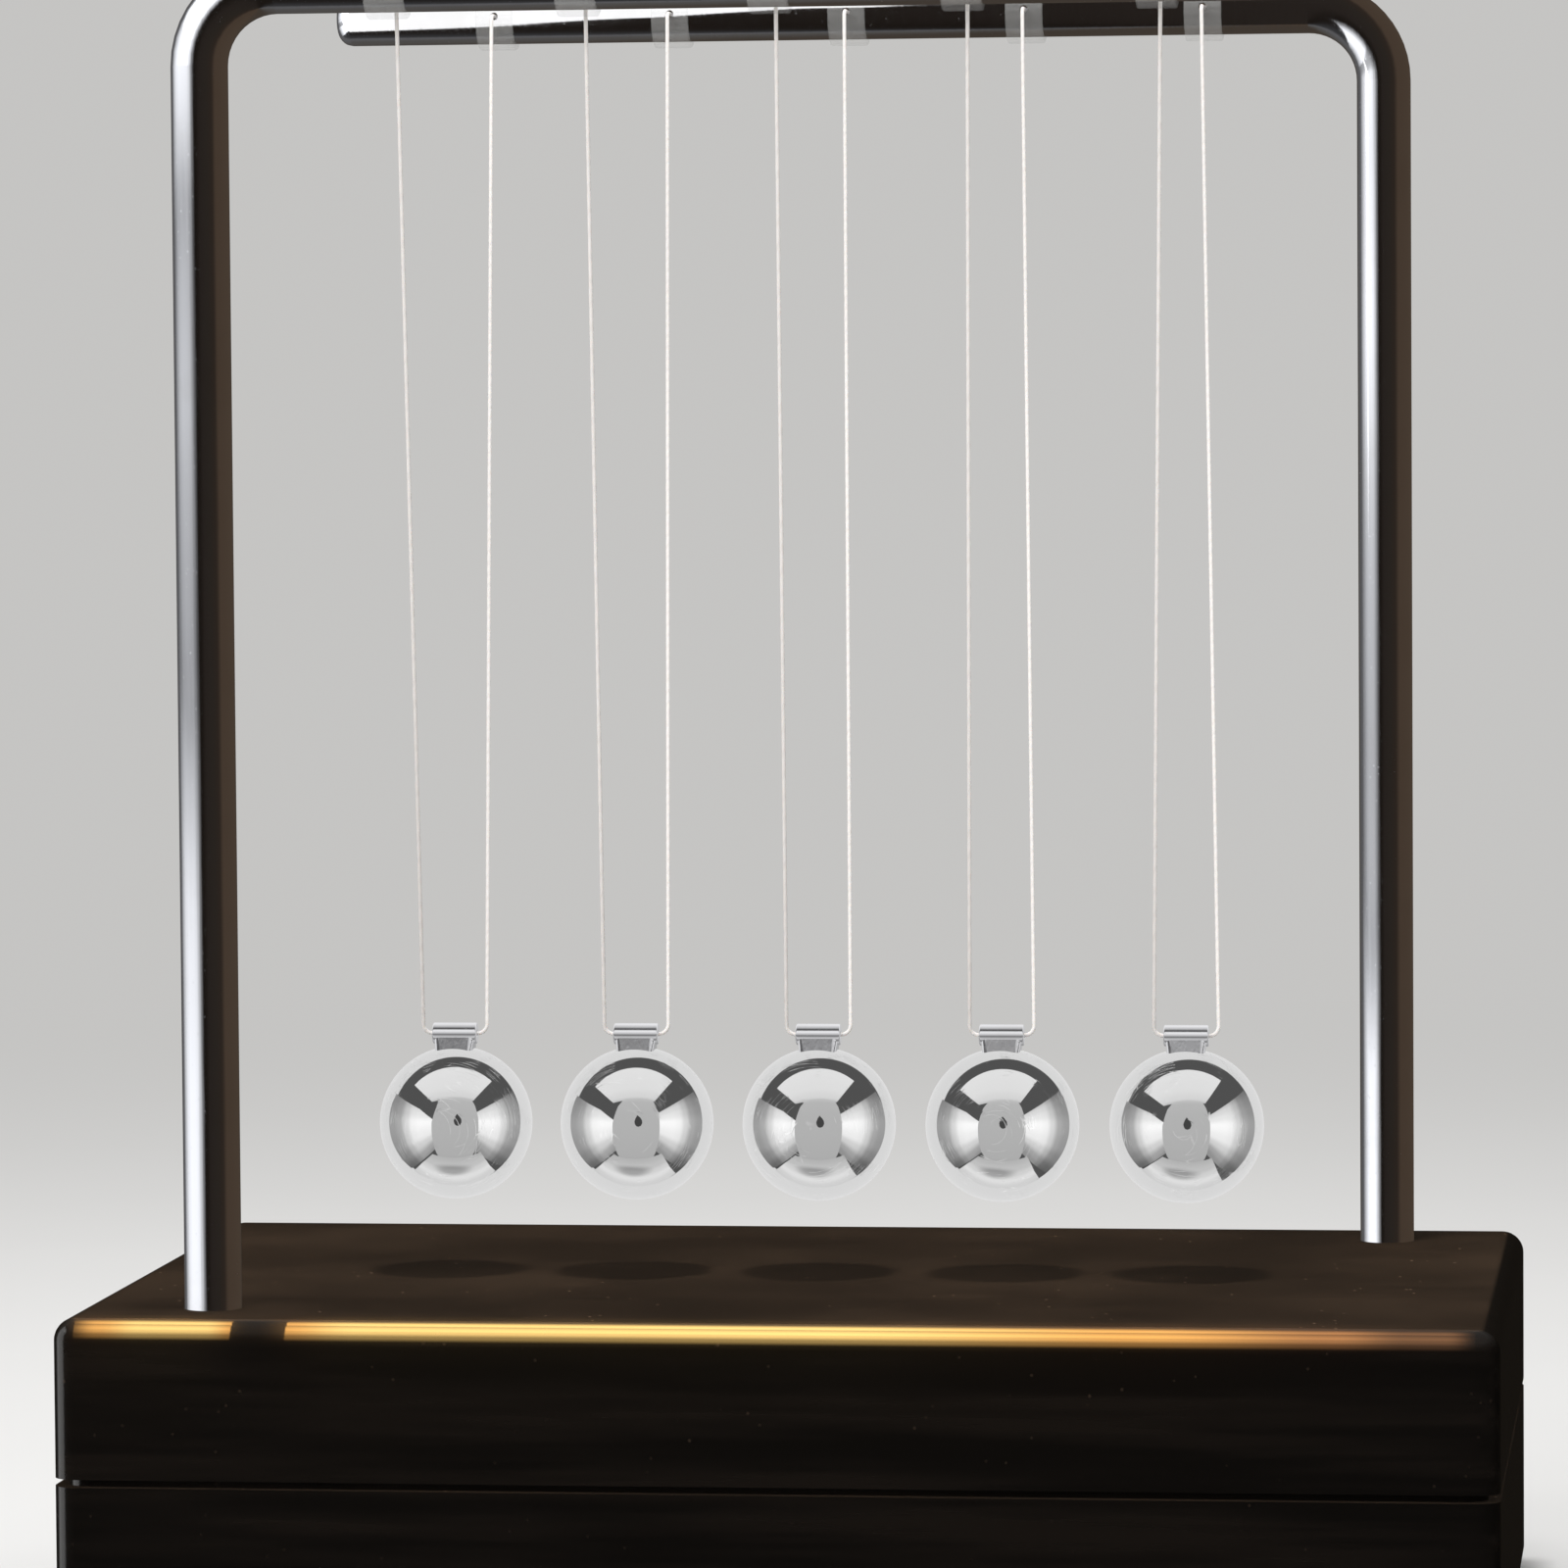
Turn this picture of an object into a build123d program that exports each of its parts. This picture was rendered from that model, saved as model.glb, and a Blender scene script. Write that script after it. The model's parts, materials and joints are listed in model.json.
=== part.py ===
from build123d import *
import os
from math import atan, degrees, sqrt

# Newton's cradle: five steel balls hang in a row from two cane-shaped chromed rods on a wooden base.
# +X runs along the row of balls, +Y points away from the front, +Z is up.
# The origin lies on the table, under the middle of the base. All lengths are in millimetres.

# ---- Balls and how they hang ------------------------------------------------------------------
ball_count = 5
ball_diameter = 20.0
ball_gap = 4.0  # clear space between two neighbouring balls at rest
ball_clearance = 9.5  # from the base's top to the underside of a ball

string_diameter = 0.5
string_clearance = 0.25  # radial room of the string in the holes that it passes through
string_bend_radius = 1.2
string_bend_room = 0.1  # straight string left between a bend and the hole beside it
knot_diameter = 1.8
knot_fit = 0.02  # between a knot and the sleeve that holds it

bail_tube_diameter = 2.8
bail_tube_length = 5.8
bail_axis_rise = 1.7  # from the ball's top to the tube's axis
bail_neck_length = 5.5  # the saddle's top, at the tube's axis
bail_neck_width = 2.2
bail_foot_length = 4.7  # the saddle's bottom, on the ball
bail_foot_width = 5.0
bail_foot_sink = 1.1  # how far the saddle reaches down the ball's sides
bail_corner = 0.7
bail_edge_rounding = 0.2
bail_pin_diameter = 2.0
bail_pin_length = 5.0  # below the ball's top
bail_pin_chamfer = 0.3
bail_fit = 0.02  # clearance of the bail's pin and saddle in and on the ball

# ---- Rods -------------------------------------------------------------------------------------
rod_diameter = 7.2
post_inset_x = 18.0  # from the base's end to a post's axis
post_inset_y = 14.0  # from the base's long side to a post's axis
rail_height = 166.0  # the rails' axis above the base's top
rail_overhang = 22.0  # from the last ball's middle to a rail's free end
rod_bend_radius = 10.0
rod_end_rounding = 2.0
socket_depth = 8.0
socket_fit = 0.05
stud_diameter = 5.0
stud_flat_depth = 0.8  # how deep the flat is cut into the stud
stud_fit = 0.1
stud_tail = 1.0  # stud showing below its nut
stud_chamfer = 0.5

sleeve_length = 5.0
sleeve_wall = 0.8
sleeve_fit = 0.05
sleeve_edge_rounding = 0.25

# ---- Base -------------------------------------------------------------------------------------
base_length = 180.0
base_depth = 112.0
base_corner_radius = 3.0
slab_thickness = 20.0
slab_edge_radius = 2.8
seam_height = 1.0
seam_depth = 1.5
block_height = 23.0
block_edge_radius = 1.0

cover_thickness = 3.0
cover_margin = 4.0  # from the base's side to the cover's recess
cover_fit = 0.2
cover_corner_radius = 3.0

foot_diameter = 14.0
foot_drop = 2.0  # how far a foot stands out below the base
foot_recess = 1.0
foot_fit = 0.1
foot_edge_radius = 0.8
foot_inset_x = 16.0  # from the base's end to a foot's middle
foot_inset_y = 12.0  # from the base's long side to a foot's middle

# ---- Hardware inside the base -----------------------------------------------------------------
pocket_length = 26.0
pocket_width = 16.0
pocket_corner_radius = 4.0
pocket_roof = 8.0  # wood between a pocket and the top of the lower block
key_plate_length = 24.0
key_plate_width = 13.0
key_plate_thickness = 1.5
key_plate_corner_radius = 2.0
washer_diameter = 10.0
washer_thickness = 1.0
nut_width = 8.0  # across the flats
nut_height = 4.0
nut_chamfer = 0.35

# ---- Screws: a length is measured from the head's seat to the tip ------------------------------
screw_fit = 0.05
screw_tip_diameter = 0.6
screw_point_length = 1.5
screw_slot_width = 0.6
screw_slot_depth = 0.7

slab_screw_head = 7.0
slab_screw_head_height = 2.4
slab_screw_shank = 3.6
slab_screw_length = 24.0
slab_screw_pocket = 8.4  # diameter of the counterbore under each slab screw
slab_screw_grip = 11.0  # wood of the lower block between the screw's head and the seam
slab_screw_slot = 4.0
slab_screw_inset_x = 54.0  # from the base's end
slab_screw_inset_y = 20.0  # from the base's long side

plate_screw_head = 3.6
plate_screw_head_height = 1.2
plate_screw_shank = 1.8
plate_screw_length = 7.0
plate_screw_slot = 2.2
plate_screw_spread = 17.0

cover_screw_head = 4.6
cover_screw_head_height = 1.5
cover_screw_shank = 2.2
cover_screw_length = 9.0
cover_screw_slot = 2.8
cover_screw_inset = 4.0  # from the side of the cover's recess
cover_screw_offset = 22.0  # along the base, from a post's axis to the nearest screw

# ---- Places that follow from the sizes above --------------------------------------------------
block_bottom = foot_drop
block_top = block_bottom + block_height
slab_bottom = block_top + seam_height
base_top = slab_bottom + slab_thickness
cover_top = block_bottom + cover_thickness

rail_z = base_top + rail_height
ball_radius = ball_diameter / 2
ball_z = base_top + ball_clearance + ball_radius
ball_top = ball_z + ball_radius
bail_z = ball_top + bail_axis_rise
ball_pitch = ball_diameter + ball_gap
ball_places = [(i - (ball_count - 1) / 2) * ball_pitch for i in range(ball_count)]

rod_radius = rod_diameter / 2
post_x = base_length / 2 - post_inset_x
post_y = base_depth / 2 - post_inset_y
rail_reach = ball_places[-1] + rail_overhang
socket_floor = base_top - socket_depth
pocket_top = block_top - pocket_roof
key_plate_bottom = pocket_top - key_plate_thickness
washer_bottom = key_plate_bottom - washer_thickness
nut_bottom = washer_bottom - nut_height
stud_bottom = nut_bottom - stud_tail

string_hole_diameter = string_diameter + 2 * string_clearance
sleeve_inner_radius = rod_radius + sleeve_fit
sleeve_radius = sleeve_inner_radius + sleeve_wall
string_turn_y = post_y - sleeve_radius - string_bend_radius - string_bend_room
string_turn_x = bail_tube_length / 2 + string_bend_radius + string_bend_room
knot_rise = sqrt(knot_diameter**2 - string_hole_diameter**2) / 2
knot_y = post_y + sleeve_radius + knot_rise + knot_fit

foot_x = base_length / 2 - foot_inset_x
foot_y = base_depth / 2 - foot_inset_y
foot_places = {
    "front_left": (-foot_x, -foot_y),
    "front_right": (foot_x, -foot_y),
    "back_left": (-foot_x, foot_y),
    "back_right": (foot_x, foot_y),
}

slab_screw_seat = block_top - slab_screw_grip
slab_screw_x = base_length / 2 - slab_screw_inset_x
slab_screw_y = base_depth / 2 - slab_screw_inset_y
slab_screw_places = [(x, y) for x in (-slab_screw_x, slab_screw_x) for y in (-slab_screw_y, slab_screw_y)]
cover_screw_seat = block_bottom + cover_screw_head_height
cover_screw_x = post_x - cover_screw_offset
cover_screw_y = base_depth / 2 - cover_margin - cover_screw_inset
cover_screw_end = base_length / 2 - cover_margin - cover_screw_inset
cover_screw_places = [
    (x, y) for x in (-cover_screw_x, cover_screw_x) for y in (-cover_screw_y, cover_screw_y)
]
cover_screw_places += [(-cover_screw_end, 0), (cover_screw_end, 0)]
cover_screw_flare = (cover_screw_head - cover_screw_shank) / 2
cover_screw_angle = 2 * degrees(atan(cover_screw_flare / cover_screw_head_height))

# The two rods stand at opposite corners: the front one at the left, the back one at the right.
rod_sides = {"front": -1, "back": 1}

os.makedirs("parts", exist_ok=True)


def save(builder, label):
    """Label a finished piece and write it to its own file."""
    builder.part.label = label
    export_step(builder.part, f"parts/{label}.step")


def post_place(side):
    """Where the post of one rod stands on the base."""
    return (side * post_x, side * post_y)


def plate_screw_places(side):
    """Where the two screws of one rod's key plate sit."""
    x, y = post_place(side)
    return [(x - plate_screw_spread / 2, y), (x + plate_screw_spread / 2, y)]


def d_profile(centre, radius, flat_depth):
    """Draw a round with one flat on its side facing the row's middle line, in the open sketch."""
    with Locations(centre):
        Circle(radius)
    flat_side = -1 if centre[1] > 0 else 1
    with Locations((centre[0], centre[1] + flat_side * (2 * radius - flat_depth))):
        Rectangle(2 * radius, 2 * radius, mode=Mode.SUBTRACT)


# ---- Base: slab, lower block, cover and feet ----------------------------------------------------
with BuildPart() as base_slab:
    with BuildSketch(Plane.XY.offset(slab_bottom)):
        RectangleRounded(base_length, base_depth, base_corner_radius)
    extrude(amount=slab_thickness)
    fillet(base_slab.edges().group_by(Axis.Z)[-1], slab_edge_radius)
    for side in rod_sides.values():
        with BuildSketch(Plane.XY.offset(base_top)):
            with Locations(post_place(side)):
                Circle(rod_radius + socket_fit)
        extrude(amount=-socket_depth, mode=Mode.SUBTRACT)
        with BuildSketch(Plane.XY.offset(slab_bottom)):
            with Locations(post_place(side)):
                Circle(stud_diameter / 2 + stud_fit)
        extrude(amount=slab_thickness - socket_depth, mode=Mode.SUBTRACT)
    with BuildSketch(Plane.XY.offset(slab_bottom)):
        with Locations(*slab_screw_places):
            Circle(slab_screw_shank / 2 + screw_fit)
    extrude(amount=slab_screw_length - slab_screw_grip, mode=Mode.SUBTRACT)
save(base_slab, "base_slab")

with BuildPart() as lower_block:
    with BuildSketch(Plane.XY.offset(block_bottom)):
        RectangleRounded(base_length, base_depth, base_corner_radius)
    extrude(amount=block_height)
    fillet(lower_block.edges().group_by(Axis.Z)[0], block_edge_radius)
    # The raised land that carries the slab and leaves the seam all round.
    with BuildSketch(Plane.XY.offset(block_top)):
        RectangleRounded(base_length - 2 * seam_depth, base_depth - 2 * seam_depth, base_corner_radius)
    extrude(amount=seam_height)
    # The recess for the cover.
    with BuildSketch(Plane.XY.offset(block_bottom)):
        RectangleRounded(
            base_length - 2 * cover_margin, base_depth - 2 * cover_margin, cover_corner_radius
        )
    extrude(amount=cover_thickness, mode=Mode.SUBTRACT)
    # A pocket for each rod's plate, washer and nut, with a hole for its stud.
    for side in rod_sides.values():
        with BuildSketch(Plane.XY.offset(pocket_top)):
            with Locations(post_place(side)):
                RectangleRounded(pocket_length, pocket_width, pocket_corner_radius)
        extrude(amount=cover_top - pocket_top, mode=Mode.SUBTRACT)
        with BuildSketch(Plane.XY.offset(pocket_top)):
            with Locations(post_place(side)):
                Circle(stud_diameter / 2 + stud_fit)
        extrude(amount=slab_bottom - pocket_top, mode=Mode.SUBTRACT)
        with BuildSketch(Plane.XY.offset(pocket_top)):
            with Locations(*plate_screw_places(side)):
                Circle(plate_screw_shank / 2 + screw_fit)
        extrude(amount=plate_screw_length - key_plate_thickness, mode=Mode.SUBTRACT)
    # Counterbored holes for the screws that hold the slab.
    with BuildSketch(Plane.XY.offset(slab_screw_seat)):
        with Locations(*slab_screw_places):
            Circle(slab_screw_pocket / 2)
    extrude(amount=cover_top - slab_screw_seat, mode=Mode.SUBTRACT)
    with BuildSketch(Plane.XY.offset(slab_screw_seat)):
        with Locations(*slab_screw_places):
            Circle(slab_screw_shank / 2 + screw_fit)
    extrude(amount=slab_bottom - slab_screw_seat, mode=Mode.SUBTRACT)
    # Pilot holes for the cover's screws.
    with BuildSketch(Plane.XY.offset(cover_top)):
        with Locations(*cover_screw_places):
            Circle(cover_screw_shank / 2 + screw_fit)
    extrude(amount=cover_screw_seat + cover_screw_length - cover_top, mode=Mode.SUBTRACT)
save(lower_block, "lower_block")

with BuildPart() as bottom_cover:
    with BuildSketch(Plane.XY.offset(block_bottom)):
        RectangleRounded(
            base_length - 2 * (cover_margin + cover_fit),
            base_depth - 2 * (cover_margin + cover_fit),
            cover_corner_radius - cover_fit,
        )
    extrude(amount=cover_thickness)
    with BuildSketch(Plane.XY.offset(block_bottom)):
        with Locations(*foot_places.values()):
            Circle(foot_diameter / 2 + foot_fit)
    extrude(amount=foot_recess, mode=Mode.SUBTRACT)
    with Locations(*[Plane((x, y, block_bottom), z_dir=(0, 0, -1)) for x, y in cover_screw_places]):
        CounterSinkHole(
            cover_screw_shank / 2 + screw_fit,
            cover_screw_head / 2 + screw_fit,
            cover_thickness,
            cover_screw_angle,
        )
save(bottom_cover, "bottom_cover")

for corner, foot_place in foot_places.items():
    with BuildPart() as foot:
        with BuildSketch():
            with Locations(foot_place):
                Circle(foot_diameter / 2)
        extrude(amount=foot_drop + foot_recess)
        fillet(foot.edges().group_by(Axis.Z)[0], foot_edge_radius)
    save(foot, f"foot_{corner}")


# ---- Rods and what holds them in the base -------------------------------------------------------
def build_rod(side):
    """A cane-shaped rod: a stud in the base, a post, one bend and a rail that ends free."""
    x, y = post_place(side)
    with BuildPart() as rod:
        with BuildLine(Plane.XZ.offset(-y)) as route:
            FilletPolyline(
                (x, socket_floor), (x, rail_z), (-side * rail_reach, rail_z), radius=rod_bend_radius
            )
        with BuildSketch(Plane((x, y, socket_floor))):
            Circle(rod_radius)
        sweep(path=route.line)
        fillet(rod.faces().filter_by(Axis.X).edges(), rod_end_rounding)
        with BuildSketch(Plane.XY.offset(socket_floor)):
            d_profile((x, y), stud_diameter / 2, stud_flat_depth)
        extrude(amount=stud_bottom - socket_floor)
        chamfer(rod.edges().group_by(Axis.Z)[0], stud_chamfer)
        with BuildSketch(Plane.XZ.offset(-y)):
            with Locations(*[(place, rail_z) for place in ball_places]):
                Circle(string_hole_diameter / 2)
        extrude(amount=rod_radius, both=True, mode=Mode.SUBTRACT)
    return rod


def build_key_plate(side):
    """The plate that stops a rod from turning: its hole has the stud's flat, and two screws hold it."""
    with BuildPart() as plate:
        with BuildSketch(Plane.XY.offset(key_plate_bottom)):
            with Locations(post_place(side)):
                RectangleRounded(key_plate_length, key_plate_width, key_plate_corner_radius)
            with Locations(*plate_screw_places(side)):
                Circle(plate_screw_shank / 2 + screw_fit, mode=Mode.SUBTRACT)
        extrude(amount=key_plate_thickness)
        with BuildSketch(Plane.XY.offset(key_plate_bottom)):
            d_profile(post_place(side), stud_diameter / 2 + stud_fit, stud_flat_depth)
        extrude(amount=key_plate_thickness, mode=Mode.SUBTRACT)
    return plate


def build_washer(side):
    """The washer between a rod's key plate and its nut."""
    with BuildPart() as washer:
        with BuildSketch(Plane.XY.offset(washer_bottom)):
            with Locations(post_place(side)):
                Circle(washer_diameter / 2)
                Circle(stud_diameter / 2 + stud_fit, mode=Mode.SUBTRACT)
        extrude(amount=washer_thickness)
    return washer


def build_nut(side):
    """The hexagon nut that pulls a rod down into its socket."""
    with BuildPart() as nut:
        with BuildSketch(Plane.XY.offset(nut_bottom)):
            with Locations(post_place(side)):
                RegularPolygon(nut_width / 2, 6, major_radius=False)
        extrude(amount=nut_height)
        chamfer(nut.edges().group_by(Axis.Z)[0] + nut.edges().group_by(Axis.Z)[-1], nut_chamfer)
        with BuildSketch(Plane.XY.offset(nut_bottom)):
            with Locations(post_place(side)):
                Circle(stud_diameter / 2 + screw_fit)
        extrude(amount=nut_height, mode=Mode.SUBTRACT)
    return nut


for name, side in rod_sides.items():
    save(build_rod(side), f"{name}_rod")
    save(build_key_plate(side), f"{name}_rod_key_plate")
    save(build_washer(side), f"{name}_rod_washer")
    save(build_nut(side), f"{name}_rod_nut")


# ---- Screws -------------------------------------------------------------------------------------
def build_screws(places, seat, head, head_height, shank, length, slot, countersunk=False):
    """Cross-head screws driven upwards from below, with their heads' seats at one height."""
    shoulder = shank if countersunk else head
    with BuildPart() as screws:
        for x, y in places:
            with BuildSketch(Plane((x, y, seat), x_dir=(1, 0, 0), z_dir=(0, -1, 0))):
                with BuildLine():
                    Polyline(
                        (0, -head_height),
                        (head / 2, -head_height),
                        (shoulder / 2, 0),
                        (shank / 2, 0) if shoulder > shank else (shank / 2, length / 2),
                        (shank / 2, length - screw_point_length),
                        (screw_tip_diameter / 2, length),
                        (0, length),
                        close=True,
                    )
                make_face()
            revolve(axis=Axis((x, y, seat), (0, 0, 1)))
        with BuildSketch(Plane.XY.offset(seat - head_height)):
            with Locations(*places):
                Rectangle(slot, screw_slot_width)
                Rectangle(screw_slot_width, slot)
        extrude(amount=screw_slot_depth, mode=Mode.SUBTRACT)
    return screws


slab_screws = build_screws(
    slab_screw_places,
    slab_screw_seat,
    slab_screw_head,
    slab_screw_head_height,
    slab_screw_shank,
    slab_screw_length,
    slab_screw_slot,
)
save(slab_screws, "slab_screws")

plate_screws = build_screws(
    [place for side in rod_sides.values() for place in plate_screw_places(side)],
    key_plate_bottom,
    plate_screw_head,
    plate_screw_head_height,
    plate_screw_shank,
    plate_screw_length,
    plate_screw_slot,
)
save(plate_screws, "key_plate_screws")

cover_screws = build_screws(
    cover_screw_places,
    cover_screw_seat,
    cover_screw_head,
    cover_screw_head_height,
    cover_screw_shank,
    cover_screw_length,
    cover_screw_slot,
    countersunk=True,
)
save(cover_screws, "cover_screws")


# ---- Sleeves, balls, bails and strings ------------------------------------------------------------
def build_sleeve(side, place):
    """A short clear tube on a rail, drilled across so that a string passes through it and the rail."""
    y = post_place(side)[1]
    with BuildPart() as sleeve:
        with BuildSketch(Plane((place - sleeve_length / 2, y, rail_z), x_dir=(0, 1, 0), z_dir=(1, 0, 0))):
            Circle(sleeve_radius)
        extrude(amount=sleeve_length)
        fillet(sleeve.edges().filter_by(GeomType.CIRCLE), sleeve_edge_rounding)
        with BuildSketch(Plane((place - sleeve_length / 2, y, rail_z), x_dir=(0, 1, 0), z_dir=(1, 0, 0))):
            Circle(sleeve_inner_radius)
        extrude(amount=sleeve_length, mode=Mode.SUBTRACT)
        with BuildSketch(Plane((place, y, rail_z), x_dir=(1, 0, 0), z_dir=(0, -1, 0))):
            Circle(string_hole_diameter / 2)
        extrude(amount=sleeve_radius, both=True, mode=Mode.SUBTRACT)
    return sleeve


def build_ball(place):
    """A solid steel ball with a blind hole in its top for the bail's pin."""
    with BuildPart() as ball:
        with Locations((place, 0, ball_z)):
            Sphere(ball_radius)
        with BuildSketch(Plane((place, 0, ball_top))):
            Circle(bail_pin_diameter / 2 + bail_fit)
        extrude(amount=-(bail_pin_length + bail_pin_chamfer), mode=Mode.SUBTRACT)
    return ball


def build_bail(place):
    """The little tube that the string runs through, on a saddle with a pin that holds it in the ball."""
    with BuildPart() as bail:
        with BuildSketch(Plane((place, 0, ball_top - bail_foot_sink))):
            RectangleRounded(bail_foot_length, bail_foot_width, bail_corner)
        with BuildSketch(Plane((place, 0, bail_z))):
            RectangleRounded(bail_neck_length, bail_neck_width, bail_corner)
        loft()
        with Locations((place, 0, ball_z)):
            Sphere(ball_radius + bail_fit, mode=Mode.SUBTRACT)
        with BuildSketch(Plane((place, 0, bail_z))):
            Circle(bail_pin_diameter / 2)
        extrude(amount=ball_top - bail_pin_length - bail_z)
        chamfer(bail.edges().group_by(Axis.Z)[0], bail_pin_chamfer)
        with BuildSketch(
            Plane((place - bail_tube_length / 2, 0, bail_z), x_dir=(0, 1, 0), z_dir=(1, 0, 0))
        ):
            Circle(bail_tube_diameter / 2)
        extrude(amount=bail_tube_length)
        tube_ends = bail.edges().filter_by(GeomType.CIRCLE).filter_by(
            lambda edge: abs(edge.radius - bail_tube_diameter / 2) < bail_fit
        )
        fillet(tube_ends.group_by(Axis.X)[0] + tube_ends.group_by(Axis.X)[-1], bail_edge_rounding)
        with BuildSketch(
            Plane((place - bail_tube_length / 2, 0, bail_z), x_dir=(0, 1, 0), z_dir=(1, 0, 0))
        ):
            Circle(string_hole_diameter / 2)
        extrude(amount=bail_tube_length, mode=Mode.SUBTRACT)
    return bail


def build_string(place):
    """One nylon string: front knot, front rail, through the bail, back rail, back knot."""
    with BuildPart() as string:
        with BuildLine() as route:
            FilletPolyline(
                (place, -knot_y, rail_z),
                (place, -string_turn_y, rail_z),
                (place - string_turn_x, 0, bail_z),
                (place + string_turn_x, 0, bail_z),
                (place, string_turn_y, rail_z),
                (place, knot_y, rail_z),
                radius=string_bend_radius,
            )
        with BuildSketch(Plane((place, -knot_y, rail_z), z_dir=(0, 1, 0))):
            Circle(string_diameter / 2)
        sweep(path=route.line)
        with Locations((place, -knot_y, rail_z), (place, knot_y, rail_z)):
            Sphere(knot_diameter / 2)
    return string


for number, place in enumerate(ball_places, start=1):
    for name, side in rod_sides.items():
        save(build_sleeve(side, place), f"{name}_sleeve_{number}")
    save(build_ball(place), f"ball_{number}")
    save(build_bail(place), f"bail_{number}")
    save(build_string(place), f"string_{number}")
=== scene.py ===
"""Newton's cradle: five polished steel balls hung in a row between two chromed rods on a dark base.

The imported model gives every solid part. This file gives the parts their finishes, sets up a small
studio round them and places the camera.
"""

from __future__ import annotations

import json
import logging
import math
from dataclasses import dataclass, field, fields
from enum import Enum
from typing import Any

import bmesh
import bpy
from mathutils import Matrix, Vector

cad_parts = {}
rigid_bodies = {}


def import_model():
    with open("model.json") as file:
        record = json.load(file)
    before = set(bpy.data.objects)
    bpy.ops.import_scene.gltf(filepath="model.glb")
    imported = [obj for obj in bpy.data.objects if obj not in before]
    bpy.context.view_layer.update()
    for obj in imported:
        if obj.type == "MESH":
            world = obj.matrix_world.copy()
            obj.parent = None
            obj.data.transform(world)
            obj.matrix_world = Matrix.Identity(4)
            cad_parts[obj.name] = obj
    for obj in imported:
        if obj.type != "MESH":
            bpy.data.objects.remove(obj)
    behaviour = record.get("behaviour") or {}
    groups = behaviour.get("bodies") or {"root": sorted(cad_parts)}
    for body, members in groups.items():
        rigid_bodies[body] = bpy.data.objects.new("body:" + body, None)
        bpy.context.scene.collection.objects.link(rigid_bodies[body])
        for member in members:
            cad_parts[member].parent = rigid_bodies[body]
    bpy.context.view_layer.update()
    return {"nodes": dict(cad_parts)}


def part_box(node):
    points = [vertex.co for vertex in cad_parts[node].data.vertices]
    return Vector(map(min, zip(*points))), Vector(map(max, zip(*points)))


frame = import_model()

LOG = logging.getLogger("newtons_cradle")
MM = 0.001
BALL_COUNT = 5

Colour = tuple[float, float, float]
Stops = tuple[tuple[float, float], ...]
ColourStops = tuple[tuple[float, Colour], ...]


# ---- Shader maths ----------------------------------------------------------------------------------


class Value:
    """A number that varies over a surface and takes Python's arithmetic signs."""

    def __init__(self, tree: Tree, socket: bpy.types.NodeSocket) -> None:
        """Wraps one output socket.

        Args:
            tree: The node tree that the socket belongs to.
            socket: The output socket that carries the number.
        """
        self.tree = tree
        self.socket = socket

    def _math(self, operation: str, first: Any, second: Any) -> Value:
        """Adds one Math node.

        Args:
            operation: The Math node's operation.
            first: A Value or a plain number.
            second: A Value or a plain number.

        Returns:
            The node's result.
        """
        return Value(
            self.tree,
            self.tree.node("ShaderNodeMath", {"operation": operation}, {0: first, 1: second})
            .outputs[0],
        )

    def __add__(self, other: Any) -> Value:
        """self + other."""
        return self._math("ADD", self, other)

    def __radd__(self, other: Any) -> Value:
        """other + self."""
        return self._math("ADD", other, self)

    def __sub__(self, other: Any) -> Value:
        """self - other."""
        return self._math("SUBTRACT", self, other)

    def __rsub__(self, other: Any) -> Value:
        """other - self."""
        return self._math("SUBTRACT", other, self)

    def __mul__(self, other: Any) -> Value:
        """self * other."""
        return self._math("MULTIPLY", self, other)

    def __rmul__(self, other: Any) -> Value:
        """other * self."""
        return self._math("MULTIPLY", other, self)

    def __pow__(self, other: Any) -> Value:
        """self ** other."""
        return self._math("POWER", self, other)

    def above(self, edge: float) -> Value:
        """1 where the value is above the edge, else 0."""
        return self._math("GREATER_THAN", self, edge)

    def angle_over(self, other: Value) -> Value:
        """The angle whose sine and cosine go as self and other, in radians."""
        return self._math("ARCTAN2", self, other)

    def ramp(self, low: float, high: float, start: float = 0.0, end: float = 1.0) -> Value:
        """Runs smoothly from one level to another.

        Args:
            low: The value at which the run starts.
            high: The value at which the run ends.
            start: The level at and below low.
            end: The level at and above high.

        Returns:
            The level.
        """
        settings = {"interpolation_type": "SMOOTHSTEP"}
        values = {"Value": self, "From Min": low, "From Max": high, "To Min": start, "To Max": end}
        return Value(self.tree, self.tree.node("ShaderNodeMapRange", settings, values).outputs[0])


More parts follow.
